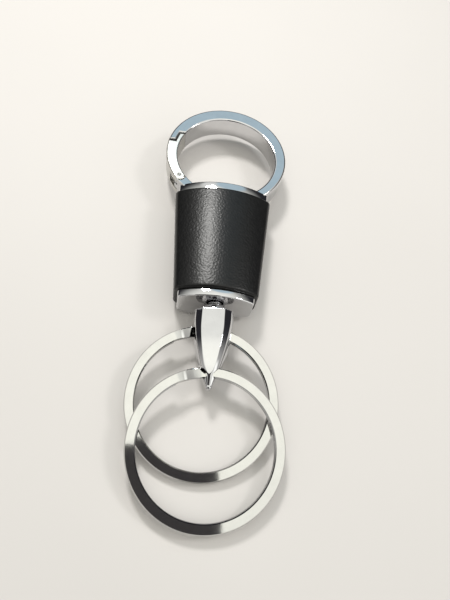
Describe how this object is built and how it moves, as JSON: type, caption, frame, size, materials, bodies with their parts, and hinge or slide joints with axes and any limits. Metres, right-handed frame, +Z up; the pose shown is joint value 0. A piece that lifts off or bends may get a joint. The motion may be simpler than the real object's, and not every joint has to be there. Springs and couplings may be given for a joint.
{
  "type": "split key ring",
  "caption": "Pocket key holder: round spring-gate hook on a leather-wrapped metal body, with a swivelling bullet-shaped end that carries flat split rings.",
  "frame": {"origin": "on the surface that the key ring lies on, under the middle of its whole length and width", "axes": "+Y from the split rings to the hook, +X to the right seen from above with the hook up, +Z up off the surface; the body's crowned face looks up"},
  "size_m": [0.0334, 0.103, 0.0119],
  "materials": {
    "polished_chrome": "polished chrome plate over zinc die casting",
    "leather_black": "smooth black leather with a fine grain",
    "cast_zinc": "raw cast metal, hidden inside",
    "spring_steel": "bright drawn wire",
    "screw_steel": "plain steel, hidden inside",
    "ring_steel": "nickel-plated flat spring steel, polished",
    "washer_nylon": "natural nylon, hidden inside",
    "pad_foam": "thin firm foam, hidden under the leather"
  },
  "bodies": {
    "frame": {"hook_frame": "polished_chrome", "gate_pin": "screw_steel", "core_front": "cast_zinc", "core_back": "cast_zinc", "core_screws": "screw_steel", "wrap_pad": "pad_foam", "leather_wrap": "leather_black", "foot_plate": "polished_chrome", "swivel_washer": "washer_nylon"},
    "gate": {"gate": "polished_chrome", "gate_spring": "spring_steel"},
    "bullet": {"bullet": "polished_chrome", "swivel_pin": "polished_chrome"},
    "ring_back": {"ring_back": "ring_steel"},
    "ring_front": {"ring_front": "ring_steel"}
  },
  "joints": [
    {"name": "gate_swing", "type": "hinge", "parent": "frame", "child": "gate", "pos_m": [-0.01128, 0.02801, 0.00595], "axis": [0, 0, -1], "range_deg": [0, 35], "stiffness_Nm_per_rad": 0.008, "springref_deg": -22.92},
    {"name": "bullet_swivel", "type": "hinge", "parent": "frame", "child": "bullet", "pos_m": [0, -0.0061, 0.00595], "axis": [0, 1, 0], "continuous": true},
    {"name": "ring_back_swing", "type": "hinge", "parent": "bullet", "child": "ring_back", "pos_m": [-0.00095, -0.012, 0.00565], "axis": [-1, 0, 0], "range_deg": [-120, 0]},
    {"name": "ring_front_swing", "type": "hinge", "parent": "bullet", "child": "ring_front", "pos_m": [0.0005, -0.02087, 0.00612], "axis": [-1, 0, 0], "range_deg": [0, 120]}
  ]
}
